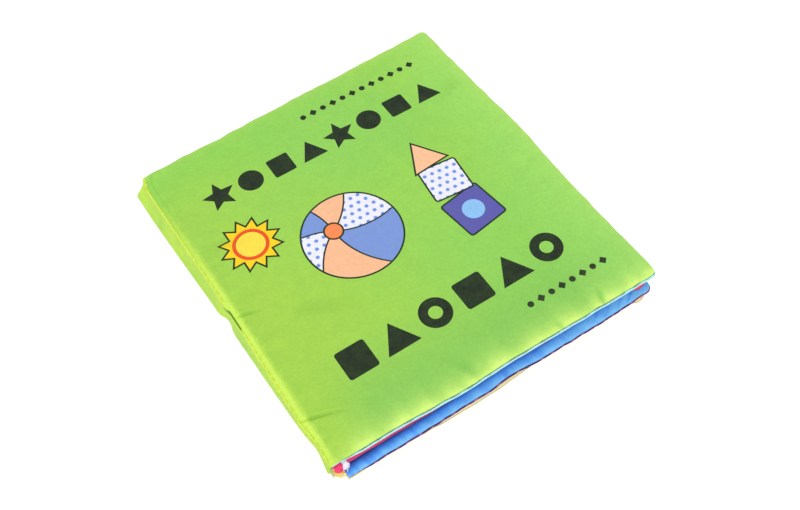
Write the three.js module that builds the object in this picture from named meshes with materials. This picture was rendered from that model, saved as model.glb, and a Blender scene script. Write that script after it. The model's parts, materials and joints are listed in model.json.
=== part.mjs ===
// A crinkle cloth book for a baby, closed and lying on its back cover.
// Millimetres, +Z up. +X runs from the spine to the fore edge, +Y from the tail of the pages to their head.
// The origin lies under the middle of the closed book. Two padded covers hang on a cloth spine, and
// two padded sheets, folded one inside the other, are sewn into it and give four leaves.
import * as THREE from "three";

// Sizes of the closed book
const coverWidth = 186;
const coverHeight = 200;
const coverThickness = 3.6;
const leafThickness = 2.8;
const leafCount = 4;
const restGap = 0.4;

// How the two page sheets lie: the inner one stands out past the cover's tail edge, the outer one ends inside
// it, and both end short of the fore edge
const outerSheetInset = 1;
const innerSheetOverhang = 5;
const sheetHeight = 198;
const foreInset = 5;

// Cloth, and the clearance that stands for two layers that touch
const clothThickness = 0.45;
const layerGap = 0.3;

// Pillow shape of a cover or a leaf
const shoulderWidth = 9;
const hemWidth = 4.5;
const foreCornerRadius = 6;
const hingeCornerRadius = 1.5;
const drawIn = 0.8;
const shoulderShares = [0, 0.12, 0.35, 0.65, 1];
const middleShares = [0.25, 0.5, 0.75];

// Foam sheet and crinkle film inside each cover and each leaf
const fillingInset = 6;
const filmThickness = 0.3;
const foamCornerRadius = 5;
const filmCornerRadius = 8;
const filmTrim = 4;

// Spine strip, its bulge at mid height, and the folds of the page sheets behind it
const spineEdgeGap = 0.45;
const spineEndTrim = 1;
const spineSteps = 10;
const liningEndTrim = 3.6;
const hingeEndGap = 0.45;
const hingePlay = 0.2;
const foldRadius = 2.5;
const foldSegments = 6;

// Threads
const hingeThreadRadius = 0.15;
const hingeThreadLift = 0.08;
const bindingThreadRadius = 0.2;
const bindingThreadLift = 0.05;
const stitchPitch = 4.4;
const threadSides = 4;
const threadTrim = 2.5;

// Heights: the covers and leaves are stacked with the rest gap between neighbours
const hemThickness = clothThickness * 2 + layerGap;
const leafPitch = leafThickness + restGap;
const totalThickness = coverThickness * 2 + leafPitch * leafCount + restGap;
const backCoverMid = coverThickness / 2;
const frontCoverMid = totalThickness - backCoverMid;
const leafMid = (number) => coverThickness + restGap + leafThickness / 2 + (leafCount - number) * leafPitch;

// Places along the book, from the outside of the spine to the fore edge
// The strip lies on the table when the book is opened, so it stands out as far as its seam stands up.
const spineDepth = backCoverMid;
const spineBulge = spineDepth - spineEdgeGap - clothThickness;
const bookWidth = coverWidth + spineDepth;
const bookHeight = coverHeight + innerSheetOverhang;
const hingeX = spineDepth - bookWidth / 2;
const foreX = bookWidth / 2;
const headY = bookHeight / 2;
const coverTailY = headY - coverHeight;
const sheetTailY = (overhang) => coverTailY - overhang;

// Depths behind the spine strip
const liningX = hingeX - spineEdgeGap - spineBulge + layerGap;
const bindingGap = layerGap + 2 * (bindingThreadRadius + bindingThreadLift);
const outerFoldX = liningX + clothThickness + bindingGap;
const innerFoldX = outerFoldX + hemThickness + layerGap;
const innerFoldRadius = leafPitch / 2;
const foldEndX = innerFoldX + hemThickness / 2 + innerFoldRadius + layerGap / 2;
const leafStartX = foldEndX + layerGap;

// Colours of the fabrics and fillings
const coverGreen = 0x9edb5a;
const spineGreen = 0xb4ea58;
const paleCyan = 0xb9f5ff;
const pink = 0xff3f75;
const skyBlue = 0x4c8ff5;
const magenta = 0xb8246e;
const yellow = 0xffe24a;
const cream = 0xfff1b0;
const white = 0xf6f4ff;
const orange = 0xff8a55;
const mint = 0x8fe3c4;
const foamWhite = 0xf4f3ec;
const filmSilver = 0xdfe6ea;
const goldThread = 0xd8c83a;
const clothRoughness = 0.85;
const foamRoughness = 0.95;
const filmRoughness = 0.25;
const threadRoughness = 0.7;

const group = new THREE.Group();

function addPiece(name, geometry, color, roughness) {
  const material = new THREE.MeshStandardMaterial({ color, roughness, metalness: 0 });
  const mesh = new THREE.Mesh(geometry, material);
  mesh.name = name;
  group.add(mesh);
}

// A closed solid from a grid of points: the upper and the lower skin have the same columns and rows,
// and a wall joins them all round.
function gridSolid(columns, rows, place) {
  const positions = [];
  const index = [];
  const layer = columns * rows;
  for (const skin of ["upper", "lower"]) {
    for (let j = 0; j < rows; j++) {
      for (let i = 0; i < columns; i++) positions.push(...place(i, j, skin));
    }
  }
  const at = (i, j) => j * columns + i;
  for (let j = 0; j + 1 < rows; j++) {
    for (let i = 0; i + 1 < columns; i++) {
      const [a, b, c, d] = [at(i, j), at(i + 1, j), at(i + 1, j + 1), at(i, j + 1)];
      index.push(a, b, c, a, c, d);
      index.push(layer + a, layer + c, layer + b, layer + a, layer + d, layer + c);
    }
  }
  const rim = [];
  for (let i = 0; i + 1 < columns; i++) rim.push(at(i, 0));
  for (let j = 0; j + 1 < rows; j++) rim.push(at(columns - 1, j));
  for (let i = columns - 1; i > 0; i--) rim.push(at(i, rows - 1));
  for (let j = rows - 1; j > 0; j--) rim.push(at(0, j));
  rim.forEach((p, k) => {
    const q = rim[(k + 1) % rim.length];
    index.push(p, layer + p, layer + q, p, layer + q, q);
  });
  const geometry = new THREE.BufferGeometry();
  geometry.setAttribute("position", new THREE.Float32BufferAttribute(positions, 3));
  geometry.setIndex(index);
  return geometry;
}

// Distances of the grid lines from the two edges of a panel: a flat hem, then the shoulder
function stations(start, end, startHem) {
  const low = shoulderShares.map((share) => start + startHem + share * shoulderWidth);
  const high = shoulderShares.map((share) => end - share * shoulderWidth).reverse();
  const inner = [low[low.length - 1], high[0]];
  const middle = middleShares.map((share) => inner[0] + share * (inner[1] - inner[0]));
  return startHem > 0 ? [start, ...low, ...middle, ...high] : [...low, ...middle, ...high];
}

// Quarter ellipse: nothing at the seam, one where the shoulder ends
const shoulder = (distance) => {
  const rest = 1 - THREE.MathUtils.clamp(distance / shoulderWidth, 0, 1);
  return Math.sqrt(1 - rest * rest);
};

// How far a rounded corner takes the side back, at a distance from the end of the panel
const cornerInset = (radius, distance) => {
  const rest = Math.max(0, radius - distance);
  return radius - Math.sqrt(radius * radius - rest * rest);
};

// One cloth panel of a cover or leaf: side is 1 for the upper cloth and -1 for the lower one
function clothPanel({ x0, x1, y0, y1, mid, rise, side }) {
  const columns = stations(x0, x1, hemWidth);
  const rows = stations(y0, y1, 0);
  const middleY = (y0 + y1) / 2;
  const halfY = (y1 - y0) / 2;
  const width = x1 - x0;
  return gridSolid(columns.length, rows.length, (i, j, skin) => {
    const endDistance = Math.min(rows[j] - y0, y1 - rows[j]);
    const left = x0 + cornerInset(hingeCornerRadius, endDistance);
    const right = x1 - cornerInset(foreCornerRadius, endDistance);
    const share = (columns[i] - x0) / width;
    const fromLeft = columns[i] - x0;
    const fromRight = x1 - columns[i];
    const x = fromLeft < fromRight ? left + fromLeft * (1 - (left - x0) / width) : right - fromRight;
    const v = (rows[j] - middleY) / halfY;
    const u = 2 * share - 1;
    const lift = shoulder(fromRight) * shoulder(fromLeft - hemWidth) * shoulder(endDistance);
    const inside = mid + side * (layerGap / 2 + rise * lift);
    const outside = inside + side * clothThickness;
    const z = skin === "upper" ? Math.max(inside, outside) : Math.min(inside, outside);
    const drawnX = x0 + (x - x0) * (1 - (drawIn / width) * (1 - v * v));
    const drawnY = middleY + (rows[j] - middleY) * (1 - (drawIn / halfY) * (1 - u * u));
    return [drawnX, drawnY, z];
  });
}

// A flat sheet with rounded corners, lying at a height
function flatSheet({ x0, x1, y0, y1, z, thickness, radius }) {
  const shape = new THREE.Shape();
  const quarter = Math.PI / 2;
  shape.absarc(x1 - radius, y0 + radius, radius, -quarter, 0);
  shape.absarc(x1 - radius, y1 - radius, radius, 0, quarter);
  shape.absarc(x0 + radius, y1 - radius, radius, quarter, 2 * quarter);
  shape.absarc(x0 + radius, y0 + radius, radius, 2 * quarter, 3 * quarter);
  const geometry = new THREE.ExtrudeGeometry(shape, {
    depth: thickness,
    bevelEnabled: false,
    curveSegments: foldSegments,
  });
  return geometry.translate(0, 0, z);
}

// A profile drawn in X and Z, carried along Y from one place to another
function alongY(shape, y0, y1) {
  const geometry = new THREE.ExtrudeGeometry(shape, {
    depth: y1 - y0,
    bevelEnabled: false,
    curveSegments: foldSegments,
  });
  return geometry.rotateX(Math.PI / 2).translate(0, y1, 0);
}

// A cover or a leaf: upper cloth, crinkle film, foam and lower cloth, with the film under the upper cloth
function paddedPage({ name, upper, lower, x0, x1, y0, y1, mid, thickness }) {
  const rise = (thickness - hemThickness) / 2;
  const place = { x0, x1, y0, y1, mid, rise };
  addPiece(upper.name, clothPanel({ ...place, side: 1 }), upper.color, clothRoughness);
  addPiece(lower.name, clothPanel({ ...place, side: -1 }), lower.color, clothRoughness);
  const filmTop = mid + rise - layerGap / 2;
  const foamTop = filmTop - filmThickness - layerGap;
  const foamBottom = mid - rise + layerGap / 2;
  const filling = {
    x0: x0 + hemWidth + fillingInset,
    x1: x1 - fillingInset,
    y0: y0 + fillingInset,
    y1: y1 - fillingInset,
  };
  const foam = { ...filling, z: foamBottom, thickness: foamTop - foamBottom, radius: foamCornerRadius };
  const film = {
    x0: filling.x0 + filmTrim,
    x1: filling.x1 - filmTrim,
    y0: filling.y0 + filmTrim,
    y1: filling.y1 - filmTrim,
    z: filmTop - filmThickness,
    thickness: filmThickness,
    radius: filmCornerRadius,
  };
  addPiece(name + "_foam", flatSheet(foam), foamWhite, foamRoughness);
  addPiece(name + "_crinkle_film", flatSheet(film), filmSilver, filmRoughness);
}

// The two covers
const coverPlace = {
  x0: hingeX + hingeEndGap,
  x1: foreX,
  y0: coverTailY,
  y1: headY,
  thickness: coverThickness,
};
paddedPage({
  ...coverPlace,
  name: "front_cover",
  upper: { name: "front_cover_outer_fabric", color: coverGreen },
  lower: { name: "front_cover_lining", color: paleCyan },
  mid: frontCoverMid,
});
paddedPage({
  ...coverPlace,
  name: "back_cover",
  upper: { name: "back_cover_lining", color: cream },
  lower: { name: "back_cover_outer_fabric", color: coverGreen },
  mid: backCoverMid,
});

// The leaves, counted from the front: 1 and 4 are the outer sheet, 2 and 3 the inner one
const leafColors = [
  { upper: pink, lower: white },
  { upper: skyBlue, lower: magenta },
  { upper: yellow, lower: mint },
  { upper: orange, lower: yellow },
];
leafColors.forEach((colors, k) => {
  const number = k + 1;
  const outer = number === 1 || number === leafCount;
  const tail = sheetTailY(outer ? -outerSheetInset : innerSheetOverhang);
  paddedPage({
    name: "leaf_" + number,
    upper: { name: `leaf_${number}_front_fabric`, color: colors.upper },
    lower: { name: `leaf_${number}_back_fabric`, color: colors.lower },
    x0: leafStartX,
    x1: foreX - foreInset,
    y0: tail,
    y1: tail + sheetHeight,
    mid: leafMid(number),
    thickness: leafThickness,
  });
});

// The spine strip: it bulges outwards between the two hinge seams
function bulgedStrip(edgeX, bulge, low, high) {
  const outline = [];
  const height = high - low;
  for (const skin of ["outer", "inner"]) {
    for (let k = 0; k <= spineSteps; k++) {
      const share = skin === "outer" ? k / spineSteps : 1 - k / spineSteps;
      const out = bulge * (1 - (2 * share - 1) ** 4);
      const x = edgeX - out - (skin === "outer" ? clothThickness : 0);
      outline.push(new THREE.Vector2(x, high - share * height));
    }
  }
  return new THREE.Shape(outline);
}
const spineLow = backCoverMid - hingePlay;
const spineHigh = frontCoverMid + hingePlay;
const spineTail = coverTailY + spineEndTrim;
const spineHead = headY - spineEndTrim;
const outerSpine = bulgedStrip(hingeX - spineEdgeGap, spineBulge, spineLow, spineHigh);
addPiece("spine_outer_fabric", alongY(outerSpine, spineTail, spineHead), spineGreen, clothRoughness);

// The spine lining lies flat behind the strip
const liningLow = spineLow + liningEndTrim;
const liningHigh = spineHigh - liningEndTrim;
const lining = bulgedStrip(liningX + clothThickness, 0, liningLow, liningHigh);
addPiece("spine_lining", alongY(lining, spineTail, spineHead), paleCyan, clothRoughness);

// The fold of a page sheet: both cloths together, bent round from one leaf to its partner
function sheetFold(outerX, radius, lowZ, highZ) {
  const half = hemThickness / 2;
  const arcX = outerX + half + radius;
  const quarter = Math.PI / 2;
  const shape = new THREE.Shape();
  shape.moveTo(foldEndX, highZ + half);
  shape.absarc(arcX, highZ - radius, radius + half, quarter, 2 * quarter);
  shape.absarc(arcX, lowZ + radius, radius + half, 2 * quarter, 3 * quarter);
  shape.lineTo(foldEndX, lowZ - half);
  shape.lineTo(foldEndX, lowZ + half);
  shape.absarc(arcX, lowZ + radius, radius - half, 3 * quarter, 2 * quarter, true);
  shape.absarc(arcX, highZ - radius, radius - half, 2 * quarter, quarter, true);
  shape.lineTo(foldEndX, highZ - half);
  return shape;
}
const outerTail = sheetTailY(-outerSheetInset);
const innerTail = sheetTailY(innerSheetOverhang);
const outerFold = sheetFold(outerFoldX, foldRadius, leafMid(leafCount), leafMid(1));
const innerFold = sheetFold(innerFoldX, innerFoldRadius, leafMid(leafCount - 1), leafMid(2));
addPiece("outer_sheet_fold", alongY(outerFold, outerTail, outerTail + sheetHeight), pink, clothRoughness);
addPiece("inner_sheet_fold", alongY(innerFold, innerTail, innerTail + sheetHeight), white, clothRoughness);

// A row of stitches: one thread that runs along Y and rises and falls once in each stitch
function stitchRow({ x, z, y0, y1, radius, lift }) {
  const steps = 2 * Math.round((y1 - y0) / stitchPitch);
  const positions = [];
  const index = [];
  for (let k = 0; k <= steps; k++) {
    const middleZ = z + (k % 2 ? lift : -lift);
    for (let side = 0; side < threadSides; side++) {
      const angle = (2 * Math.PI * side) / threadSides;
      positions.push(x + radius * Math.cos(angle), y0 + ((y1 - y0) * k) / steps);
      positions.push(middleZ + radius * Math.sin(angle));
    }
  }
  for (let k = 0; k < steps; k++) {
    for (let side = 0; side < threadSides; side++) {
      const next = (side + 1) % threadSides;
      const [a, b] = [k * threadSides + side, k * threadSides + next];
      const [d, c] = [a + threadSides, b + threadSides];
      index.push(a, d, c, a, c, b);
    }
  }
  const last = steps * threadSides;
  for (let side = 1; side + 1 < threadSides; side++) {
    index.push(0, side, side + 1, last, last + side + 1, last + side);
  }
  const geometry = new THREE.BufferGeometry();
  geometry.setAttribute("position", new THREE.Float32BufferAttribute(positions, 3));
  geometry.setIndex(index);
  return geometry;
}
const rowEnds = { y0: coverTailY + threadTrim, y1: headY - threadTrim };
const hingeThread = { ...rowEnds, x: hingeX, radius: hingeThreadRadius, lift: hingeThreadLift };
const hingeRows = { front_hinge_stitches: frontCoverMid, back_hinge_stitches: backCoverMid };
for (const [name, z] of Object.entries(hingeRows)) {
  addPiece(name, stitchRow({ ...hingeThread, z }), goldThread, threadRoughness);
}
const bindingRow = {
  ...rowEnds,
  x: (liningX + clothThickness + outerFoldX) / 2,
  z: totalThickness / 2,
  radius: bindingThreadRadius,
  lift: bindingThreadLift,
};
addPiece("binding_stitches", stitchRow(bindingRow), yellow, threadRoughness);

export default group;
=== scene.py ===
import json
import math
import bpy
import numpy as np
from mathutils import Matrix, Vector


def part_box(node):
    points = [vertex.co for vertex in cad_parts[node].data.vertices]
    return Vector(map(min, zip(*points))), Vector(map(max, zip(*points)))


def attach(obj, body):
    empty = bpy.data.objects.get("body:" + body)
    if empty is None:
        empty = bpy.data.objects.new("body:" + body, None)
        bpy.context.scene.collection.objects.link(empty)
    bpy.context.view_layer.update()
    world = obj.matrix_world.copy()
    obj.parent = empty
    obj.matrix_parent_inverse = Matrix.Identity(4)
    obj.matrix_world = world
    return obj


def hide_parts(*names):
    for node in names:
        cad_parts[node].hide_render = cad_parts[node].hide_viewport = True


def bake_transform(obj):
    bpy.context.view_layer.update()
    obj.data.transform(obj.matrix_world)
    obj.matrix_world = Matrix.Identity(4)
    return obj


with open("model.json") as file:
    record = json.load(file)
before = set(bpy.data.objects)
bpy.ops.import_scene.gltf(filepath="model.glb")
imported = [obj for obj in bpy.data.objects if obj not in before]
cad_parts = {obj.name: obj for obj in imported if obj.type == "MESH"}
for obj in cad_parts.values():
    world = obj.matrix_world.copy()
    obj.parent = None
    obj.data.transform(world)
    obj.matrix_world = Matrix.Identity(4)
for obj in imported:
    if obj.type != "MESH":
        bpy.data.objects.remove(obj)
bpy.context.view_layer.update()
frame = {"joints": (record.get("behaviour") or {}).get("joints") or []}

# A crinkle cloth book, closed on its back cover: two pillowed covers on a cloth spine and four padded
# leaves. Everything is in metres. MM turns a size in millimetres into metres.
MM = 0.001

# From the frame: the book's box, the hinge lines along the spine's two seams, and the front cover's box
joints = {joint["name"]: joint["pos_m"] for joint in frame["joints"]}
HINGE_X = joints["spine_hinge"][0]
LOW_SEAM = joints["spine_hinge"][2]
HIGH_SEAM = joints["front_cover_hinge"][2]
BOOK_HIGH = LOW_SEAM + HIGH_SEAM
COVER_LOW, COVER_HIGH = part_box("front_cover_outer_fabric")
COVER_MID_X = (HINGE_X + COVER_HIGH.x) / 2
COVER_MID_Y = (COVER_LOW.y + COVER_HIGH.y) / 2

# The camera, at the photograph's viewing angle: fitted to the four corners of the front cover
PHOTO_WIDTH_PX = 800
FOCAL_PX = 1000
CAMERA_AZIMUTH = -30.887
CAMERA_ELEVATION = 56.616
CAMERA_ROLL = -3.0
CAMERA_DISTANCE = 530.3 * MM
CAMERA_RIGHT = 5.18 * MM
CAMERA_UP = -5.44 * MM
SENSOR_WIDTH = 36.0


def linear(colour):
    """A colour written as six hex digits, turned into linear light with the sRGB curve."""
    parts = [int(colour[k:k + 2], 16) / 255 for k in (0, 2, 4)]
    return [c / 12.92 if c <= 0.04045 else ((c + 0.055) / 1.055) ** 2.4 for c in parts] + [1.0]


def darker(colour, share):
    """A share of a colour's light, in its own hue."""
    return [c * share for c in linear(colour)[:3]] + [1.0]


def add_camera():
    """Places the camera behind its target along the view axis, turned a little about that axis."""
    a, e, r = (math.radians(v) for v in (CAMERA_AZIMUTH, CAMERA_ELEVATION, CAMERA_ROLL))
    back = Vector((math.sin(a) * math.cos(e), -math.cos(a) * math.cos(e), math.sin(e)))
    level = Vector((math.cos(a), math.sin(a), 0))
    raised = back.cross(level)
    right = level * math.cos(r) + raised * math.sin(r)
    up = raised * math.cos(r) - level * math.sin(r)
    data = bpy.data.cameras.new("camera")
    data.sensor_width = SENSOR_WIDTH
    data.lens = SENSOR_WIDTH * FOCAL_PX / PHOTO_WIDTH_PX
    data.clip_start = 0.01
    camera = bpy.data.objects.new("camera", data)
    bpy.context.scene.collection.objects.link(camera)
    place = Matrix((right, up, back)).transposed().to_4x4()
    place.translation = back * CAMERA_DISTANCE + right * CAMERA_RIGHT + up * CAMERA_UP
    camera.matrix_world = place
    bpy.context.scene.camera = camera


# Finishes


class Field:
    """A number that varies over a surface. Each sum, product or function of fields adds one Math node."""

    def __init__(self, tree, socket):
        self.tree = tree
        self.socket = socket

    def apply(self, operation, *others):
        """The outcome of one Math node, whose inputs are this field and then the others."""
        node = self.tree.nodes.new("ShaderNodeMath")
        node.operation = operation
        for place, value in enumerate((self,) + others):
            if isinstance(value, Field):
                self.tree.links.new(value.socket, node.inputs[place])
            else:
                node.inputs[place].default_value = value
        return Field(self.tree, node.outputs[0])

    def __add__(self, other):
        return self.apply("ADD", other)

    def __sub__(self, other):
        return self.apply("SUBTRACT", other)

    def __mul__(self, other):
        return self.apply("MULTIPLY", other)

    def __truediv__(self, other):
        return self.apply("DIVIDE", other)

    def __abs__(self):
        return self.apply("ABSOLUTE")

    def flipped(self, total=0.0):
        """The total less this field."""
        return self.apply("MULTIPLY_ADD", -1.0, total)

    def most(self, other):
        """The larger of this field and the other."""
        return self.apply("MAXIMUM", other)

    def least(self, other):
        """The smaller of this field and the other."""
        return self.apply("MINIMUM", other)

    def floor(self):
        return self.apply("FLOOR")

    def wrapped(self, length):
        """What is left past the last whole length."""
        return self.apply("FLOORED_MODULO", length)

    def equals(self, value):
        """One where the field is within a half of the value, zero elsewhere."""
        return self.apply("COMPARE", value, 0.5)

    def inside(self, softness=0.12):
        """One where a signed distance is under zero, zero outside, with a soft rim."""
        return self.apply("MULTIPLY_ADD", -1 / softness, 0.5).apply("MAXIMUM", 0.0).apply("MINIMUM", 1.0)


def length_of(x, y):
    """The root of the sum of both squares."""
    return (x * x + y * y).apply("SQRT")


def turned(x, y, degrees):
    """Coordinates along axes that are turned by an angle."""
    c, s = math.cos(math.radians(degrees)), math.sin(math.radians(degrees))
    return x * c + y * s, y * c - x * s


def circle(x, y, radius):
    """Distance to a circle, less than zero inside it."""
    return length_of(x, y) - radius


COS_30 = 0.866
COS_45 = 0.7071


def square(x, y, half, rounding=1.2):
    """Distance to a square with rounded corners: the length of what sticks out past the inner square."""
    out_x = (abs(x) - (half - rounding)).most(0.0)
    out_y = (abs(y) - (half - rounding)).most(0.0)
    return length_of(out_x, out_y) - rounding


def diamond(x, y, half):
    """Distance to a square that stands on its corner."""
    return (abs(x) + abs(y) - half) * COS_45


def triangle(x, y, radius):
    """Distance to the nearest of three edges at half the radius from the middle."""
    return (abs(x) * COS_30 + y / 2).most(y.flipped()) - radius / 2


def star(x, y, points, outer, inner):
    """Polar fold into one half point, then the distance to the edge from its tip to its notch."""
    step = 2 * math.pi / points
    angle = x.apply("ARCTAN2", y) + (math.pi * 4)
    folded = abs(angle.wrapped(step) - step / 2).flipped(step / 2)
    radius = length_of(x, y)
    across = radius * folded.apply("SINE")
    along = radius * folded.apply("COSINE") - outer
    notch_x, notch_y = inner * math.sin(step / 2), inner * math.cos(step / 2) - outer
    size = math.hypot(notch_x, notch_y)
    return across * (-notch_y / size) + along * (notch_x / size)


def paint(tree, under, mask, colour):
    """Lays a colour over the colour below, where the mask is one."""
    node = tree.nodes.new("ShaderNodeMix")
    node.data_type = "RGBA"
    tree.links.new(mask.socket, node.inputs["Factor"])
    for socket, value in ((node.inputs[6], under), (node.inputs[7], colour)):
        if isinstance(value, (list, tuple)):
            socket.default_value = value
        else:
            tree.links.new(value, socket)
    return node.outputs[2]


INK = linear("101518")
INK_LINE = 1.0


def outlined(tree, under, distance, colour):
    """A printed shape: a dark line round it and its own colour inside."""
    return paint(tree, paint(tree, under, distance.inside(), INK), (distance + INK_LINE).inside(), colour)


def noise(tree, vector, scale, detail, roughness):
    """Soft clouds about one over the scale wide, with finer clouds over them."""
    node = tree.nodes.new("ShaderNodeTexNoise")
    node.inputs["Scale"].default_value = scale
    node.inputs["Detail"].default_value = detail
    node.inputs["Roughness"].default_value = roughness
    tree.links.new(vector, node.inputs["Vector"])
    return Field(tree, node.outputs["Fac"])


def stretched(field, low, high):
    """Stretches the part of a field from low to high over the whole of zero to one."""
    return ((field - low) / (high - low)).most(0.0).least(1.0)


# The cloths' thread pitch in millimetres, how much specks darken them and how much painted shade lies in
# the weave's low parts and in the hollows, and how high weave, fuzz and creases stand in the relief, in
# millimetres
WEAVE_PITCH = 0.42
SPECK_SHADE, WEAVE_SHADE, HOLLOW_SHADE = 0.15, 0.09, 0.07
WEAVE_HEIGHT, FUZZ_HEIGHT, CREASE_HEIGHT = 0.05, 0.03, 0.35


def new_material(name):
    """A new material, its node tree and its shader."""
    material = bpy.data.materials.new(name)
    material.use_nodes = True
    return material, material.node_tree, material.node_tree.nodes["Principled BSDF"]


def add_relief(tree, shader, height, strength, distance):
    """Turns a height over the surface into relief in its shading."""
    bump = tree.nodes.new("ShaderNodeBump")
    bump.inputs["Strength"].default_value = strength
    bump.inputs["Distance"].default_value = distance
    tree.links.new(height.socket, bump.inputs["Height"])
    tree.links.new(bump.outputs[0], shader.inputs["Normal"])


def woven(x, y):
    """The height of a plain weave: squares of a checker show in turn the warp, as the size of a sine
    along X, and the weft, as the size of a sine along Y."""
    thread = math.pi / WEAVE_PITCH
    warp = abs((x * thread).apply("SINE"))
    weft = abs((y * thread).apply("SINE"))
    checker = (x * (1 / WEAVE_PITCH)).floor() + (y * (1 / WEAVE_PITCH)).floor()
    over = checker.wrapped(2.0)
    return warp * over + weft * over.flipped(1.0)


def cloth_material(name, colours, draw=None, glow=None, painted_shade=None, from_uv=False, mottle_size=28.0):
    """Woven cloth: clouds and patches of three shades, then any print, then a painted highlight and a painted
    shade where the painted light attribute is above and below zero, and over all fine specks, painted shade
    in the low parts of the weave and in soft hollows."""
    material, tree, shader = new_material(name)
    split = tree.nodes.new("ShaderNodeSeparateXYZ")
    vector = tree.nodes.new("ShaderNodeTexCoord").outputs["UV" if from_uv else "Object"]
    tree.links.new(vector, split.inputs[0])
    x, y, z = (Field(tree, socket) * (1 / MM) for socket in split.outputs)
    clouds = stretched(noise(tree, vector, 1 / (mottle_size * MM), 3.0, 0.55), 0.36, 0.66)
    patches = stretched(noise(tree, vector, 1 / (2.2 * mottle_size * MM), 2.0, 0.5), 0.4, 0.62)
    specks = stretched(noise(tree, vector, 1 / (1.5 * MM), 3.0, 0.7), 0.3, 0.72)
    fuzz = noise(tree, vector, 1 / (0.25 * MM), 2.0, 0.6)
    creases = noise(tree, vector, 1 / (7.0 * MM), 4.0, 0.62)
    hollows = stretched(creases, 0.35, 0.65).flipped(1.0)
    weave = woven(x, y)
    colour = paint(tree, linear(colours[0]), clouds, linear(colours[1]))
    colour = paint(tree, colour, patches * 0.75, linear(colours[2]))
    if draw:
        colour = draw(tree, colour, x, y, z)
    # The glow colour is a painted highlight and the shadow colour a painted shade, laid on by the painted
    # light attribute
    if glow:
        attribute = tree.nodes.new("ShaderNodeAttribute")
        attribute.attribute_name = "tone"
        shade = Field(tree, attribute.outputs["Fac"])
        shadow = linear(painted_shade) if painted_shade else darker(colours[0], 0.22)
        colour = paint(tree, colour, shade.most(0.0), linear(glow))
        colour = paint(tree, colour, shade.flipped().most(0.0), shadow)
    dim = darker(colours[0], 0.2)
    colour = paint(tree, colour, specks.flipped(1.0) * SPECK_SHADE, dim)
    # Painted shade in the low parts of the weave and in the hollows of the crease relief
    colour = paint(tree, colour, weave.flipped(1.0) * WEAVE_SHADE, dim)
    colour = paint(tree, colour, hollows * HOLLOW_SHADE, darker(colours[0], 0.4))
    tree.links.new(colour, shader.inputs["Base Color"])
    height = weave * WEAVE_HEIGHT + fuzz * FUZZ_HEIGHT + creases * CREASE_HEIGHT
    add_relief(tree, shader, height, 0.55, 1.0 * MM)
    rough = specks * 0.14 + 0.7
    tree.links.new(rough.socket, shader.inputs["Roughness"])
    shader.inputs["Sheen Weight"].default_value = 0.06
    shader.inputs["Sheen Roughness"].default_value = 0.5
    shader.inputs["Specular IOR Level"].default_value = 0.22
    return material


def row_of(tree, under, x, y, pitch, count, shapes):
    """A straight row of shapes in turn: each place along X has its own local coordinate and number."""
    spread = x + count * pitch / 2
    number = (spread * (1 / pitch)).floor()
    local = spread.wrapped(pitch) - pitch / 2
    in_row = (abs(x) - count * pitch / 2).inside()
    for turn, shape in enumerate(shapes):
        chosen = number.wrapped(float(len(shapes))).equals(float(turn))
        under = paint(tree, under, shape(local, y).inside() * in_row * chosen, INK)
    return under


def dotted(tree, x, y, ground, dots, pitch=4.4, radius=1.05):
    """Staggered dots: every second row is moved by half a pitch."""
    row = (y * (1 / pitch)).floor()
    across = (x + row * (pitch / 2)).wrapped(pitch) - pitch / 2
    along = y.wrapped(pitch) - pitch / 2
    return paint(tree, linear(ground), circle(across, along, radius).inside(0.3), linear(dots))


def front_print(tree, colour, x, y, z):
    """The front cover's print, in millimetres from the middle of the cover: broad tints of the ground and a
    painted highlight along the hem beside the spine, then rows of dark toy shapes, a ball, three building
    blocks and a sun."""
    x = x - COVER_MID_X / MM
    y = y - COVER_MID_Y / MM
    tints = (
        (stretched(x * -0.010 - y * 0.004, -0.1, 0.9) * 0.7, "AAD349"),
        (stretched(y, -48.0, -84.0) * stretched(x, -84.0, -60.0) * 0.9, "86C85A"),
        (stretched(y, 60.0, 90.0) * stretched(x, 10.0, -50.0) * 0.5, "86D258"),
        (stretched(x, 52.0, 88.0) * 0.55, "A6E46E"),
        # A painted highlight along the hem beside the spine
        ((x + 90.6).inside(2.4) * stretched(y, 75.0, 20.0), "CAEE54"),
    )
    for share, tint in tints:
        colour = paint(tree, colour, share, linear(tint))
    tall = [
        lambda a, b: star(a, b, 5, 9.6, 4.4),
        lambda a, b: circle(a, b, 6.9),
        lambda a, b: square(a, b, 6.4),
        lambda a, b: triangle(a, b + 1.8, 8.6),
    ]
    colour = row_of(tree, colour, x, y - 62, 18.5, 8, tall)
    wide = [
        lambda a, b: square(a, b, 8.2, 1.6),
        lambda a, b: triangle(a, b + 2.4, 10.8),
        lambda a, b: circle(a, b, 8.6).most(circle(a, b, 3.6).flipped()),
    ]
    colour = row_of(tree, colour, x, y + 60, 22.5, 6, wide)
    small = [lambda a, b: circle(a, b, 1.7), lambda a, b: diamond(a, b, 2.3)]
    colour = row_of(tree, colour, x - 34, y - 84, 6.4, 12, small)
    colour = row_of(tree, colour, x - 52, y + 82, 6.4, 8, small)
    colour = ball(tree, colour, x + 20, y - 2)
    colour = blocks(tree, colour, x - 30, y + 8)
    return sun(tree, colour, x + 66, y - 26)


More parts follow.
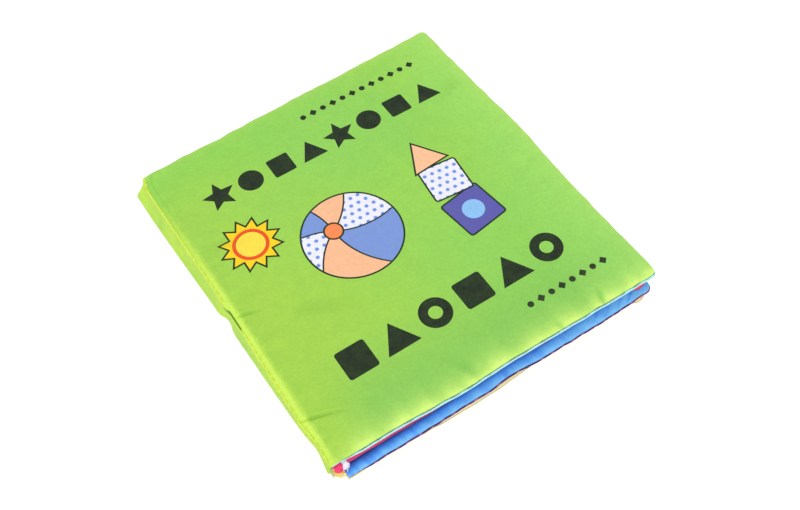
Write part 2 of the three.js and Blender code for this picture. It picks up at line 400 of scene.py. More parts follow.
def ball(tree, colour, x, y):
    """A ball of six panels that curve from its pole to its rim."""
    radius = length_of(x, y)
    colour = outlined(tree, colour, radius - 27, linear("8FC3F8"))
    inner = (radius - 26).inside()
    pole_x, pole_y = x + 7, y - 7
    reach = length_of(pole_x, pole_y)
    sector = math.pi / 3
    angle = pole_x.apply("ARCTAN2", pole_y) + reach * 0.012 + 2 * math.pi
    number = (angle * (1 / sector)).floor().wrapped(3.0)
    spots = dotted(tree, x, y, "F2F0FF", "6F92E6")
    colour = paint(tree, colour, number.equals(0.0) * inner, linear("FFBE96"))
    colour = paint(tree, colour, number.equals(1.0) * inner, spots)
    colour = paint(tree, colour, number.equals(2.0) * inner, linear("7C97DE"))
    fold = angle.wrapped(sector)
    edge = reach * fold.least(fold.flipped(sector)) - 0.45
    colour = paint(tree, colour, edge.inside() * inner, INK)
    return outlined(tree, colour, reach - 5.5, linear("FF8A55"))


def blocks(tree, colour, x, y):
    """Two building blocks with a roof on top, each turned a little."""
    a, b = turned(x - 10, y + 12, 8)
    colour = outlined(tree, colour, square(a, b, 12.5, 2.0), linear("5B54B0"))
    colour = paint(tree, colour, (circle(a, b, 6.0)).inside(), linear("8FC3F8"))
    a, b = turned(x - 9, y - 12, -6)
    ground = dotted(tree, a, b, "F2F0FF", "6F92E6")
    colour = outlined(tree, colour, square(a, b, 11.5, 2.0), ground)
    a, b = turned(x - 8, y - 30, 4)
    return outlined(tree, colour, triangle(a, b, 13.5), linear("FFC39A"))


def sun(tree, colour, x, y):
    """A sun with twelve rays, a broad disc and a ring."""
    colour = outlined(tree, colour, star(x, y, 12, 17.5, 12.2), linear("FFD51A"))
    colour = paint(tree, colour, circle(x, y, 9.6).inside(), linear("F04A22"))
    return paint(tree, colour, circle(x, y, 7.6).inside(), linear("FFE24A"))


def page_print(kind, ink, second):
    """A plain pattern for an inner page, kept clear of its edges: dots, stars, stripes or blocks."""

    def draw(tree, colour, x, y, z):
        x = x - COVER_MID_X / MM
        y = y - COVER_MID_Y / MM
        pitch = 28.0
        row = (y * (1 / pitch)).floor()
        a = (x + row * (pitch / 2)).wrapped(pitch) - pitch / 2
        b = y.wrapped(pitch) - pitch / 2
        reach = row.wrapped(2.0) * (pitch / 2) + 2 * pitch
        if kind == "stripes":
            reach = 2.5 * pitch
            across = abs((x + y).wrapped(pitch) - pitch / 2) * COS_45
            shape, core = across - 4.0, across - 1.2
        elif kind == "stars":
            shape, core = star(a, b, 5, 9.0, 4.2), circle(a, b, 2.4)
        elif kind == "blocks":
            shape, core = square(a, b, 7.0, 1.5), square(a, b, 3.2, 0.8)
        else:
            shape, core = circle(a, b, 7.0), circle(a, b, 3.4)
        inside = (abs(x) - reach).inside() * (abs(y) - 3 * pitch).inside()
        colour = paint(tree, colour, shape.inside() * inside, linear(ink))
        return paint(tree, colour, core.inside() * inside, linear(second))

    return draw


def plain_material(name, colour, roughness, transmission=0.0, grain=0.4):
    """Foam, film or thread: one colour with a fine grain in its height, and painted shade in the grain's low
    parts.
    """
    material, tree, shader = new_material(name)
    vector = tree.nodes.new("ShaderNodeTexCoord").outputs["Object"]
    pores = noise(tree, vector, 1 / (grain * MM), 3.0, 0.7)
    # Painted shade in the low parts of the grain
    shade = paint(tree, linear(colour), pores.flipped(1.0) * 0.15, darker(colour, 0.55))
    tree.links.new(shade, shader.inputs["Base Color"])
    add_relief(tree, shader, pores, 0.4, 0.3 * MM)
    shader.inputs["Roughness"].default_value = roughness
    shader.inputs["Transmission Weight"].default_value = transmission
    return material


COVER_GREENS = ["97D458", "A2D751", "8FD25D"]
# The covers' painted highlight and painted shade colours, laid on where their painted light says
COVER_PAINTED_HIGHLIGHT = "DDFF80"
COVER_PAINTED_SHADE = "6A9C18"
SPINE_GREENS = ["C6F04C", "CEF454", "B2EA54"]
front_cloth = cloth_material("front_cover_cloth", COVER_GREENS, front_print, COVER_PAINTED_HIGHLIGHT, COVER_PAINTED_SHADE)
back_cloth = cloth_material("back_cover_cloth", COVER_GREENS, None, COVER_PAINTED_HIGHLIGHT, COVER_PAINTED_SHADE)
# The strip's pale and dark colours are its painted highlight and painted shade
spine_cloth = cloth_material(
    "spine_cloth", SPINE_GREENS, None, "DEFC54", "487A00", from_uv=True, mottle_size=12.0
)


# Surfaces


def mesh_object(name, points, quads, material):
    """One mesh object from an array of points and an array of four-cornered faces."""
    mesh = bpy.data.meshes.new(name)
    mesh.vertices.add(len(points))
    mesh.vertices.foreach_set("co", np.ascontiguousarray(points, np.float32).ravel())
    mesh.loops.add(quads.size)
    mesh.loops.foreach_set("vertex_index", quads.astype(np.int32).ravel())
    mesh.polygons.add(len(quads))
    mesh.polygons.foreach_set("loop_start", np.arange(0, quads.size, 4, dtype=np.int32))
    mesh.polygons.foreach_set("use_smooth", np.full(len(quads), True))
    mesh.update(calc_edges=True)
    mesh.validate()
    mesh.materials.append(material)
    piece = bpy.data.objects.new(name, mesh)
    bpy.context.scene.collection.objects.link(piece)
    return piece


def sheet_quads(rows, columns):
    """Faces of a closed sheet: an upper skin, a lower skin turned over, and a wall all round."""
    at = np.arange(rows * columns).reshape(rows, columns)
    a, b, c, d = (q.ravel() for q in (at[:-1, :-1], at[:-1, 1:], at[1:, 1:], at[1:, :-1]))
    upper = np.stack([a, b, c, d], 1)
    lower = upper[:, ::-1] + at.size
    rim = np.concatenate([at[0, :-1], at[:-1, -1], at[-1, :0:-1], at[:0:-1, 0]])
    following = np.roll(rim, -1)
    wall = np.stack([rim, rim + at.size, following + at.size, following], 1)
    return np.concatenate([upper, lower, wall])


def closed_sheet(name, upper, lower, material, tone=None, uv=None):
    """A piece of cloth with a thickness, from its two skins, each an array of rows by columns of points."""
    rows, columns = upper.shape[:2]
    points = np.concatenate([upper.reshape(-1, 3), lower.reshape(-1, 3)])
    quads = sheet_quads(rows, columns)
    piece = mesh_object(name, points, quads, material)
    # The painted highlight and shade go on every point as an attribute
    if tone is not None:
        both = np.concatenate([tone.ravel(), tone.ravel()]).astype(np.float32)
        piece.data.attributes.new("tone", "FLOAT", "POINT").data.foreach_set("value", both)
    if uv is not None:
        both = np.concatenate([uv.reshape(-1, 2), uv.reshape(-1, 2)])
        layer = piece.data.uv_layers.new(name="cloth")
        layer.data.foreach_set("uv", both[quads.ravel()].astype(np.float32).ravel())
    return piece


def grid_lines(low, high, count, gather=0.8):
    """Places from low to high that crowd together near both ends: an even run less a part of its sine."""
    t = np.linspace(0, 1, count)
    return low + (high - low) * (t - gather * np.sin(2 * np.pi * t) / (2 * np.pi))


def crowded_lines(low, high, count, places):
    """Places from low to high that crowd together at both ends and round the given places: even steps of
    the running total of a density."""
    fine = np.linspace(low, high, 4000)
    end = np.minimum(fine - low, high - fine)
    density = 0.45 + 2.2 * np.exp(-end / (6 * MM))
    for place in places:
        density = density + 1.6 * np.exp(-(((fine - place * MM) / (5 * MM)) ** 2))
    total = np.cumsum(density) - density[0]
    return np.interp(np.linspace(0, 1, count), total / total[-1], fine)


def quarter(distance, width):
    """A quarter ellipse: nothing at distance zero, one from the width on."""
    rest = 1 - np.clip(distance / width, 0, 1)
    return np.sqrt(1 - rest * rest)


def smooth(value, low, high):
    """Nothing up to the low end, one from the high end on, and an even S between them: three squares less
    two cubes of the share of the way."""
    t = np.clip((value - low) / (high - low), 0, 1)
    return t * t * (3 - 2 * t)


def waves(places, seed, lengths):
    """A mean of cosines with chosen wavelengths and seeded phases, each warped a little along the way."""
    rng = np.random.default_rng(seed)
    total = np.zeros_like(places)
    for length in lengths:
        phase, slow, lag = rng.uniform(0, 2 * np.pi, 3)
        warp = 0.35 * length * np.sin(2 * np.pi * places / (7.3 * length) + slow)
        total = total + np.cos(2 * np.pi * (places + warp) / length + phase) * (0.7 + 0.3 * np.cos(lag))
    return total / len(lengths)


def stack_lift(x, y):
    """The whole closed book swells and dips a little, in broad waves that are highest at its top."""
    broad = waves(x + 0.4 * y, 3, [83 * MM, 51 * MM]) * 0.35 * MM
    return broad + waves(y - 0.3 * x, 5, [96 * MM, 61 * MM]) * 0.35 * MM


def settled(x, y, z):
    """Points of a page, lifted by the stack's waves in proportion to their height."""
    return np.stack([x, y, z + stack_lift(x, y) * np.clip(z / BOOK_HIGH, 0, 1)], -1)


# The upper cloth of each cover and leaf, and the cloth that is sewn to it
PARTNERS = {
    "front_cover_outer_fabric": "front_cover_lining",
    "back_cover_lining": "back_cover_outer_fabric",
    "leaf_1_front_fabric": "leaf_1_back_fabric",
    "leaf_2_front_fabric": "leaf_2_back_fabric",
    "leaf_3_front_fabric": "leaf_3_back_fabric",
    "leaf_4_front_fabric": "leaf_4_back_fabric",
}
# A cloth's thickness, the least room between two sewn cloths, and the height of a sewn rim above its middle
CLOTH = 0.34 * MM
SEAM_REST = 0.05 * MM
RIM_HEIGHT = 0.42 * MM
# How far in from an edge its wander, its seam's line, its bumps and a rounded corner's pull die away
EDGE_FADE = 12 * MM
SEAM_FADE = 9 * MM
BUMP_FADE = 25 * MM
CORNER_FADE = 34 * MM
WANDER_LENGTHS = (61 * MM, 37 * MM, 19 * MM, 11 * MM)
RIPPLE_LENGTHS = (43 * MM, 21 * MM, 12.5 * MM)


def edge_bumps(bumps, along, away):
    """How far the bumps push an edge: bell curves along it that fade with the distance from it."""
    push = np.zeros_like(along)
    for place, width, height in bumps:
        push = push + height * MM * np.exp(-(((along / MM - place) / width) ** 2))
    return push * np.exp(-away / BUMP_FADE)


class Page:
    """A cover or a leaf as a sewn pillow. Its outline is a rectangle whose fore corners are rounded,
    whose corners are moved by the given shifts, and whose free edges wander by a few tenths of a
    millimetre.

    The form holds where the pillow rises beside the spine and over what width, the widths of its
    shoulders at the tail, the fore edge and the head, and the radius of the fore corners. Each bump is a
    place along the tail edge, a half width and how far the edge is pushed along Y there, and each fore
    bump is the same on the fore edge, pushed along X. The seam, if given, moves the edge at the spine,
    and the heel rounds its tail end."""

    def __init__(self, name, upper_node, form, shifts, seed, bumps=(), fore_bumps=(), hinge_x=None, seam=None,
                 heel=0.0):
        low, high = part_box(upper_node)
        other_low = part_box(PARTNERS[upper_node])[0]
        self.name = name
        self.x0 = low.x if hinge_x is None else hinge_x
        self.x1, self.y0, self.y1 = high.x, low.y, high.y
        self.middle = (other_low.z + high.z) / 2
        self.half = (high.z - other_low.z) / 2
        self.ridge, self.shoulders, self.corner = form
        self.shifts = shifts
        self.seed = seed
        self.bumps = bumps
        self.fore_bumps = fore_bumps
        self.seam = seam
        self.heel = heel * MM

    def outline(self, x, y, spread):
        """Rounds the fore corners, moves the corners by blended shifts, and lets the free edges wander.
        Each edge also stands out by its spread: at the tail, the fore edge and the head."""
        end = np.minimum(y - self.y0, self.y1 - y)
        inset = self.corner - np.sqrt(self.corner ** 2 - np.maximum(self.corner - end, 0) ** 2)
        u = (x - self.x0) / (self.x1 - self.x0)
        v = (y - self.y0) / (self.y1 - self.y0)
        out_x = x - inset * (1 - np.clip((self.x1 - x) / CORNER_FADE, 0, 1))
        out_y = y.copy()
        for (weight_u, weight_v), (dx, dy) in zip(((0, 0), (1, 0), (1, 1), (0, 1)), self.shifts):
            weight = (u if weight_u else 1 - u) * (v if weight_v else 1 - v)
            out_x = out_x + weight * dx * MM
            out_y = out_y + weight * dy * MM
        cut = self.heel - np.sqrt(self.heel ** 2 - np.maximum(self.heel - (y - self.y0), 0) ** 2)
        if self.seam:
            cut = cut + self.seam(y)
        out_x = out_x + cut * np.exp(-(x - self.x0) / SEAM_FADE)
        out_x = out_x + edge_bumps(self.fore_bumps, y, self.x1 - x)
        out_y = out_y + edge_bumps(self.bumps, x, y - self.y0)
        tail_spread, fore_spread, head_spread = spread
        tail_spread = tail_spread * (0.08 + 0.92 * smooth(x - self.x0, 3 * MM, 17 * MM))
        tail = waves(x, self.seed, WANDER_LENGTHS) * 0.35 * MM - tail_spread
        head = waves(x, self.seed + 1, WANDER_LENGTHS) * 0.45 * MM + head_spread
        fore = waves(y, self.seed + 2, WANDER_LENGTHS) * 0.45 * MM + fore_spread
        out_y = out_y + tail * np.exp(-(y - self.y0) / EDGE_FADE) + head * np.exp(-(self.y1 - y) / EDGE_FADE)
        return out_x + fore * np.exp(-(self.x1 - x) / EDGE_FADE), out_y

    def plump(self, x, y):
        """How full the pillow is: the product of a quarter ellipse from each edge."""
        tail, fore, head = self.shoulders
        full = quarter(x - self.x0 - self.ridge[0], self.ridge[1]) * quarter(self.x1 - x, fore)
        return full * quarter(y - self.y0, tail) * quarter(self.y1 - y, head)

    def seam_ripple(self, x, y):
        """Both cloths rise and fall together near their seams: waves along each edge that die away from
        it."""
        ripple = np.zeros_like(x)
        for number, (away, run) in enumerate(((y - self.y0, x), (self.x1 - x, y), (self.y1 - y, x))):
            ripple = ripple + np.exp(-away / (7 * MM)) * waves(run, self.seed + 3 + number, RIPPLE_LENGTHS)
        return ripple * 0.38 * MM

    def puckers(self, x, y, side):
        """Small pulls at the stitches and longer ones that run in from the seams: nothing on the seam
        itself, most a few millimetres in, and gone further in."""
        total = np.zeros_like(x)
        edges = ((y - self.y0, x), (self.y1 - y, x), (self.x1 - x, y), (x - self.x0 - self.ridge[0], y))
        for number, (distance, run) in enumerate(edges):
            seed = self.seed + 6 + number + (20 if side < 0 else 0)
            away = np.maximum(distance, 0)
            short = away / (1.6 * MM) * np.exp(1 - away / (1.6 * MM))
            long = away / (4.0 * MM) * np.exp(1 - away / (4.0 * MM))
            total = total + short * waves(run, seed, [4.6 * MM, 7.1 * MM]) * 0.14 * MM
            total = total + long * waves(run, seed + 30, [9.5 * MM, 14.0 * MM, 23.0 * MM]) * 0.42 * MM
        return total

    def skin(self, x, y, side, extra=0.0):
        """Height of the outer side of the upper (1) or lower (-1) cloth above the page's middle."""
        rise = (self.half - RIM_HEIGHT) * self.plump(x, y)
        return side * np.maximum(RIM_HEIGHT + rise + self.puckers(x, y, side) + extra, CLOTH + SEAM_REST)


def page_cloth(page, node, side, material, count, spread=(0, 0, 0), detail=None, shade=None, curl=0.0,
               crowd=None):
    """One cloth of a page: its outer skin from the pillow, its inner skin a cloth's thickness inside. The
    curl lifts the inner skin at the tail edge, where the cloth stands out past its partner. The places to
    crowd get more lines, for sharp wrinkles. Spread and curl are in millimetres."""
    if crowd:
        y_lines = crowded_lines(page.y0, page.y1, count[1], crowd)
    else:
        y_lines = grid_lines(page.y0, page.y1, count[1])
    x, y = np.meshgrid(grid_lines(page.x0, page.x1, count[0]), y_lines)
    out_x, out_y = page.outline(x, y, [s * MM for s in spread])
    middle = page.middle + page.seam_ripple(x, y)
    height = page.skin(x, y, side, detail(x, y) if detail else 0.0)
    inner = side * np.maximum(side * height - CLOTH, SEAM_REST)
    inner = inner + curl * MM * (1 - smooth(y - page.y0, 0.95 * MM, 1.25 * MM))
    skins = [settled(out_x, out_y, middle + h) for h in (height, inner)]
    if side < 0:
        skins.reverse()
    # Painted highlight and shade for this cloth, from its shade function
    tone = shade(page, x, y) if shade else np.zeros_like(x)
    piece = closed_sheet(node.replace("fabric", "cloth"), *skins, material, tone)
    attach(piece, page.name)
    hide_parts(node)
    flat = cut_size(skins[0] if side > 0 else skins[1])


def cut_size(skin):
    """The flat size of a cloth: the mean length of its lines along X and along Y."""
    along_x = np.linalg.norm(np.diff(skin, axis=1), axis=2).sum(1).mean()
    along_y = np.linalg.norm(np.diff(skin, axis=0), axis=2).sum(0).mean()
    return float(along_x), float(along_y)


# The filling's distance in from the seams, and how far the film's middle, the foam's top and its underside
# keep from the inner sides of the cloths
FILLING_INSET = 9 * MM
FILM_DEPTH = 0.45 * MM
FOAM_TOP_DEPTH = 0.75 * MM
FOAM_LOW_DEPTH = 0.95 * MM
FILM_HALF = 0.03 * MM
FILM_CREASE = 0.05 * MM


def page_filling(page, detail=None):
    """The foam sheet and, over it, the crinkle film with its sharp little creases: the sizes of slanting
    waves, whose corners are where the waves cross zero."""
    x, y = np.meshgrid(
        grid_lines(page.x0 + page.ridge[0] + FILLING_INSET, page.x1 - FILLING_INSET, 60, 0.3),
        grid_lines(page.y0 + FILLING_INSET, page.y1 - FILLING_INSET, 64, 0.3),
    )
    out_x, out_y = page.outline(x, y, (0, 0, 0))
    inner = page.half - CLOTH
    dips = np.minimum(detail(x, y), 0) if detail else np.zeros_like(x)
    foam_top = inner - FOAM_TOP_DEPTH + dips
    foam_low = np.full_like(x, FOAM_LOW_DEPTH - inner)
    foam = [settled(out_x, out_y, page.middle + h) for h in (foam_top, foam_low)]
    piece = closed_sheet(page.name + "_foam_sheet", *foam, foam_finish)
    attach(piece, page.name)
    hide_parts(page.name + "_foam")
    slants = (waves(x + y, page.seed + 50, (6 * MM, 9 * MM)), waves(x - y, page.seed + 51, (7 * MM,)))
    creases = np.abs(slants[0]) - np.abs(slants[1])
    level = page.middle + inner - FILM_DEPTH + dips + creases * FILM_CREASE
    film = [settled(out_x, out_y, level + h) for h in (FILM_HALF, -FILM_HALF)]
    film_piece = closed_sheet(page.name + "_film", *film, film_finish)
    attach(film_piece, page.name)
    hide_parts(page.name + "_crinkle_film")


def cover_light_and_shade(page, x, y):
    """Painted light on the cover's cloth: painted highlights on the hem beside the spine and along its rims,
    and painted shade in its creases and in waves near the tail edge. Each rim's share falls off
    exponentially from its edge, and the largest one counts."""
    reach = (x - page.x0) / MM - 0.6 * waves(y, 73, [8.8 * MM, 12.5 * MM, 21 * MM])
    hem = (1 - smooth(reach, 2.2, 3.8)) * (0.22 - 0.2 * smooth(y, 0, 80 * MM))
    tail = np.exp(-np.maximum(y - page.y0, 0) / (4.6 * MM)) * (0.95 + 0.4 * waves(x, 71, [31 * MM, 17 * MM]))
    tail = tail * (0.35 + 0.65 * smooth(x, -90 * MM, -68 * MM))
    head = np.exp(-np.maximum(page.y1 - y, 0) / (2.5 * MM)) * 0.35
    fore = np.exp(-np.maximum(page.x1 - x, 0) / (3.0 * MM)) * 0.35
    pale = np.clip(np.maximum.reduce([hem, tail, head, fore]), 0, 1)
    band = np.maximum(y - page.y0, 0) / (5.0 * MM)
    dark = band * np.exp(1 - band) * np.maximum(waves(x, 74, [12 * MM, 19 * MM]) - 0.35, 0) * 0.3
    crease = np.minimum(cover_wrinkles(x, y), 0) / MM
    return pale * (1 - 2 * dark) * (1 + 0.5 * np.maximum(crease, -1)) - dark + crease * 0.42


def rim_highlight(page, x, y):
    """Painted highlight along the tail and fore edges."""
    edge = np.minimum(y - page.y0, page.x1 - x)
    return np.exp(-np.maximum(edge, 0) / (2 * MM))


def under_shade(page, x, y):
    """Painted shade along the tail edge, which lies in the gap under the cover, but not near the fore corner.
    """
    edge = np.maximum(y - page.y0, 0)
    strength = 0.15 + 0.5 * smooth(x, -78 * MM, -45 * MM)
    return -strength * np.exp(-edge / (1.6 * MM)) * (1 - smooth(x, 62 * MM, 74 * MM))


def gap_shade(page, x, y):
    """Painted shade along the whole tail edge, which lies in the narrow gap over the page below."""
    return -0.9 * np.exp(-np.maximum(y - page.y0, 0) / (2.5 * MM)) * smooth(x - page.x0, 0, 3 * MM)


# Painted highlight and shade of slanting folds in the blue page's edge near its fore corner: place in mm,
#  and how pale or how dark
EDGE_FOLDS = ((51.2, -0.55), (58.6, -0.3), (63.1, 0.9), (66.6, -0.5), (69.8, 0.8), (73.2, -0.45), (76.5, 0.5))


def ledge_light_and_shade(page, x, y):
    """The cloth that stands out past the page above gets a painted highlight at its edge and towards the fore
    corner, and painted shadow under the page above, most so near the spine, with painted highlights and
    shade of short pulls across it and of slanting folds."""
    edge = (y - page.y0) / MM
    along = x / MM - 1.1 * edge
    folds = sum(depth * np.exp(-(((along - place) / 1.3) ** 2)) for place, depth in EDGE_FOLDS)
    folds = folds * smooth(edge, 0.3, 1.2)
    lighter = (folds + 0.45 * smooth(x, 0, 60 * MM)) * (1 - smooth(edge, 4.5, 7.0))
    share = smooth(x, -95 * MM, 75 * MM)
    pulls = waves(x + 0.3 * y, 75, [3.6 * MM, 5.5 * MM, 9.0 * MM, 16.0 * MM])
    pale = np.exp(-((edge / 3.0) ** 2)) * (0.85 + 0.9 * pulls)
    reach = (4.8 - 3.4 * share) * (1 - 0.42 * pulls) + 3.5 * np.exp(-(x - page.x0) / (6 * MM))
    painted_shade = np.clip((edge - 5.4 + reach) / reach, 0, 1) ** 1.7 * (1.0 - 0.72 * share)
    painted_shade = painted_shade * (1 - smooth(edge, 9.0, 14.0))
    return np.clip(np.clip(pale, 0, 1) + lighter, -1, 1) * (1 - painted_shade) - painted_shade


def seam_highlights(page, x, y):
    """Painted highlights on the gathered edge seam: short pale gaps between darker runs, all pale near the
    fore corner.
    """
    place = (x / MM + 1.2 * waves(x, 76, [23 * MM])) % 6.3
    pale = np.maximum(np.where(place < 1.25, 0.9, 0.0), 0.7 * smooth(x, 76 * MM, 82 * MM))
    return pale * np.exp(-np.maximum(y - page.y0, 0) / (2 * MM))


# Wrinkles of the front cover, the two sharp ones at the spine first: start, end, depth and width
WRINKLES = (
    ((-90.5, -4.8), (-75, -9), 0.9, 0.9),
    ((-91, -71.3), (-69, -78.5), 0.95, 0.9),
    ((-84, 40), (-60, 34), 0.35, 3.0),
    ((-60, -20), (-20, -40), 0.3, 5.0),
    ((61, -97), (64, -86), 0.8, 1.7),
    ((36, -98), (34, -90), 0.6, 1.5),
    ((-12, -96), (-20, -78), 0.45, 3.0),
    ((84, 60), (62, 50), 0.35, 4.0),
)


def cover_wrinkles(x, y):
    """Each wrinkle is a bell-shaped valley along a straight line, deepest at its start, with a low ridge
    beside it. The hem beside the spine pulls in short waves."""
    total = np.zeros_like(x)
    for start, end, depth, width in WRINKLES:
        sx, sy, ex, ey = (v * MM for v in (*start, *end))
        length = math.hypot(ex - sx, ey - sy)
        ux, uy = (ex - sx) / length, (ey - sy) / length
        along = ((x - sx) * ux + (y - sy) * uy) / length
        across = ((y - sy) * ux - (x - sx) * uy) / (width * MM)
        fade = smooth(along, -0.25, 0.05) * (1 - smooth(along, 0.2, 1.0))
        total = total - depth * MM * fade * np.exp(-across ** 2)
        total = total + 0.45 * depth * MM * fade * np.exp(-(across - 2) ** 2)
    hem_pulls = np.exp(-((x - HINGE_X - 3.4 * MM) / (2.2 * MM)) ** 2)
    return total + hem_pulls * waves(y, 81, [8.8 * MM, 12.5 * MM]) * 0.3 * MM


# Along the book, the seam between the front cover and the spine wanders by these offsets: place and offset
ROW_PLACES = (-96, -84, -70, -40, -11, 5, 67, 92, 100)
ROW_OFFSETS = (-0.3, 0.7, -1.0, -0.5, 0.0, 0.0, -0.9, -1.2, 0.7)


def eased(places, table_places, table_values):
    """Values between the table's, by straight lines with their corners taken off by a short average."""
    offsets = np.linspace(-2.5, 2.5, 7) * MM
    xs, ys = np.array(table_places) * MM, np.array(table_values) * MM
    return sum(np.interp(places + o, xs, ys) for o in offsets) / len(offsets)


def seam_row(y):
    """How far from the hinge line the front seam lies, along X."""
    return eased(y, ROW_PLACES, ROW_OFFSETS)


# How far the foot of the spine strip stands out past the hinge line along the book, in millimetres: places
# along Y, and a depth for each, chosen where the photograph shows the strip's outline
FOOT_PLACES = (-91, -84, -78, -70, -62, -40, -2, 1, 4.5, 8.5, 12.5, 16, 60, 85, 103)
FOOT_DEPTHS = (1.5, 0.3, -0.6, 0.7, 1.2, 1.8, 2.6, 2.3, 0.9, 1.2, 3.6, 3.4, 5.1, 5.9, 6.0)


def foot_row(y):
    """How far in from the hinge line the back seam lies: enough to stay behind the strip's foot."""
    return np.maximum(0.7 * MM - eased(y, FOOT_PLACES, FOOT_DEPTHS), 0)


# The two covers. The spine's seam gathers them, so their edge there is shorter than the fore edge.
COVER_FORM = ((2.6 * MM, 3.2 * MM), (8.5 * MM, 6.0 * MM, 6.0 * MM), 3.2 * MM)
FRONT_SHIFTS = ((0.0, 1.9), (-0.5, -2.1), (-0.7, 2.6), (0.0, -2.5))
FRONT_BUMPS = ((-24, 16, -0.9),)
FRONT_FORE_BUMPS = ((18, 30, 1.7),)
BACK_SHIFTS = ((0.0, 2.2), (-2.5, 2.5), (-2.5, 2.0), (-1.5, 2.3))
# Lines across and along a cloth, by how much of it shows
FINE = (214, 222)
MEDIUM = (190, 130)
PLAIN = (110, 116)

foam_finish = plain_material("foam", "F4F3EC", 0.95)
film_finish = plain_material("crinkle_film", "DCE4E8", 0.2, transmission=0.6, grain=3.0)
CYANS = ["BEF6FF", "B0F2FF", "CCFAFF"]
CREAMS = ["FFF1B0", "FFEDA0", "FFF4C0"]
# The front lining's pale colour is a painted highlight along its rims
cyan_cloth = cloth_material("front_lining_cloth", CYANS, page_print("stars", "7FC8F0", "FFE24A"), "C4FCFF")
spine_lining = cloth_material("spine_lining_cloth", CYANS, from_uv=True)
cream_cloth = cloth_material("back_lining_cloth", CREAMS, page_print("blocks", "FF9A5A", "FFE24A"))

front = Page(
    "front_cover", "front_cover_outer_fabric", COVER_FORM, FRONT_SHIFTS, 100, FRONT_BUMPS, FRONT_FORE_BUMPS,
    HINGE_X - 0.25 * MM, seam_row,
)
page_cloth(
    front, "front_cover_outer_fabric", 1, front_cloth, FINE, detail=cover_wrinkles,
    shade=cover_light_and_shade, crowd=(-7, -75),
)
page_cloth(
    front, "front_cover_lining", -1, cyan_cloth, MEDIUM, (1.15, 0.0, 0.3),
    shade=rim_highlight, curl=0.46,
)
page_filling(front, cover_wrinkles)

back = Page(
    "back_cover", "back_cover_lining", COVER_FORM, BACK_SHIFTS, 200, hinge_x=HINGE_X, seam=foot_row, heel=4.0
)
page_cloth(back, "back_cover_lining", 1, cream_cloth, PLAIN, (0.5, 0.3, 0.3))
page_cloth(back, "back_cover_outer_fabric", -1, back_cloth, MEDIUM, shade=cover_light_and_shade)
page_filling(back)

# The leaves, counted from the front: shifts of the corners, bumps of the tail edge, how far the lower cloth
# # stands out past the upper one, and for each cloth its slot, its three shades, its print, its painted
# # highlight colour and its painted shade colour, and the function that says where this painted light lies
LEAF_FORM = ((3.6 * MM, 4.5 * MM), (6.0 * MM, 6.0 * MM, 6.0 * MM), 4.5 * MM)
PINKS = ["FF3F75", "FF4A80", "F83A6C"]
WHITES = ["F6F4FF", "EFEEFF", "FBFAFF"]
BLUES = ["4C98FF", "5EAAFF", "3C86FA"]
MAGENTAS = ["7A4492", "86509C", "6C3A84"]
YELLOWS = ["FFE24A", "FFE65C", "FFD93A"]
# Painted shade: leaf 3's back cloth gets olive shades, which stand in for the shadowed underside of the
# yellow leaf's edge
OLIVES = ["C8C070", "D2CA7C", "BCB464"]
ORANGES = ["FF8A55", "FF9460", "FA7F4A"]
LEAVES = (
    (((0, -0.3), (1.5, -2.3), (0, 0), (0, 0)), ((85, 5, -1.5),), 0.0,
     ("pink_cloth", PINKS, page_print("dots", "FFD0DC", "FFE24A"), "FF9AC0", "6A1E70", under_shade),
     ("white_cloth", WHITES, page_print("stripes", "9CC4FF", "FF8A55"), "FBFAFF", "3A1870", gap_shade)),
    (((0, 0.7), (0.6, -0.9), (0, 0), (0, 0)), ((3, 9, 1.3), (-40, 20, 0.2), (85, 10, 0.7)), 0.7,
     ("blue_cloth", BLUES, page_print("stars", "F2F0FF", "FFE24A"), "7CC6FF", "2A1A80", ledge_light_and_shade),
     ("magenta_cloth", MAGENTAS, page_print("dots", "FFBE96", "FFE24A"), "F0A8CC", None, seam_highlights)),
    (((0, 1.5), (0, 1.3), (0, 0), (0, 0)), ((-16, 28, -1.9), (84.5, 5, -2.2)), 0.15,
     ("yellow_cloth", YELLOWS, page_print("blocks", "F04A22", "FFBE96"), "FFF8C4", None, rim_highlight),
     ("mint_cloth", OLIVES, page_print("stripes", "E8F4A0", "FFE24A"), None, None, None)),
    (((0, 0), (0, 0), (0, 0), (0, 0)), (), 0.0,
     ("orange_cloth", ORANGES, page_print("dots", "FFE24A", "F04A22"), None, None, None),
     ("yellow_cloth", YELLOWS, page_print("stars", "7C97DE", "F2F0FF"), None, None, None)),
)


def add_leaves():
    """Each leaf's two cloths, with more lines where a leaf's edge shows, and its filling."""
    for place, (shifts, bumps, stand_out, *cloths) in enumerate(LEAVES):
        name = f"leaf_{place + 1}"
        nodes = (name + "_front_fabric", name + "_back_fabric")
        leaf = Page(name, nodes[0], LEAF_FORM, shifts, 400 + 100 * place, bumps)
        count = MEDIUM if place in (1, 2) else PLAIN
        spreads = ((0, 0, 0), (stand_out, 0.3 * stand_out, 0.3 * stand_out))
        for node, side, spread, cloth in zip(nodes, (1, -1), spreads, cloths):
            slot, shades, pattern, glow, painted_shade, shade = cloth
            finish = cloth_material(node.replace("fabric", "cloth"), shades, pattern, glow, painted_shade)
            page_cloth(leaf, node, side, finish, count, spread, shade=shade)
        page_filling(leaf)


add_leaves()


# The spine strip. Its top edge is sewn to the front cover and its foot to the back cover. Each edge's two
# ends, how far the top stands out, the heights of both edges, and how far the cloth turns in behind them
TOP_ENDS = (COVER_LOW.y + 1.9 * MM, COVER_HIGH.y - 2.5 * MM)
FOOT_ENDS = (COVER_LOW.y + 6.6 * MM, COVER_HIGH.y + 2.3 * MM)
TOP_REACH = 1.3 * MM
TOP_Z = HIGH_SEAM + 0.9 * MM
FOOT_Z = 0.35 * MM
TURN_IN = 0.5 * MM
